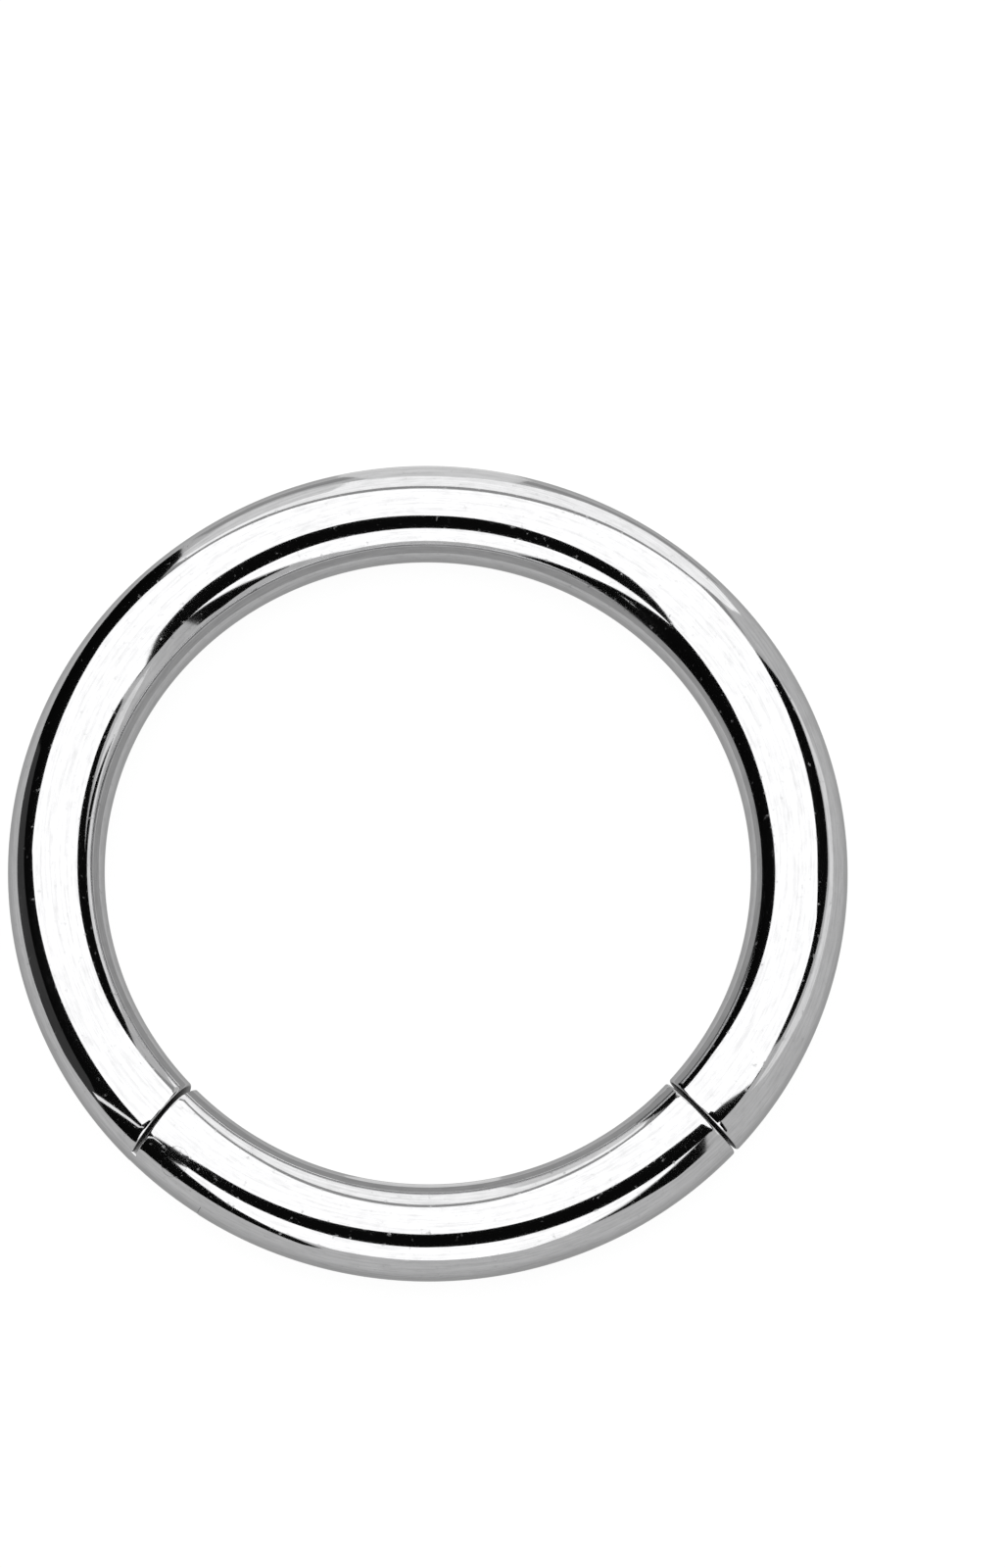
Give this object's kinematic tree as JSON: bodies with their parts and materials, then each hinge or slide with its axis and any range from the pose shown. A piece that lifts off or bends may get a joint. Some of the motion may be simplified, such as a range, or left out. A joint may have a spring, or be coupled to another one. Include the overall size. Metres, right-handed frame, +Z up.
{
  "type": "hinged segment ring",
  "caption": "Closed round ring of polished steel wire with a hinged segment that swings outwards on a flush cross pin and closes with a small catch.",
  "frame": {"origin": "centre of the ring's hole, at the level of the surface that the ring lies on", "axes": "+Z up through the hole, the ring lying on its side; -Y points at the middle of the hinged segment; the hinge is on the -X side and the clasp on the +X side"},
  "size_m": [0.0104, 0.0104, 0.0012],
  "materials": {
    "polished_steel": "mirror polished surgical steel",
    "pin_steel": "polished flush with the wire"
  },
  "bodies": {
    "ring": {"ring_body": "polished_steel"},
    "segment": {"hinged_segment": "polished_steel", "hinge_pin": "pin_steel"}
  },
  "joints": [
    {"name": "segment_hinge", "type": "hinge", "parent": "ring", "child": "segment", "pos_m": [-0.00318, -0.00377, 0.0006], "axis": [0, 0, -1], "range_deg": [0, 133]}
  ]
}
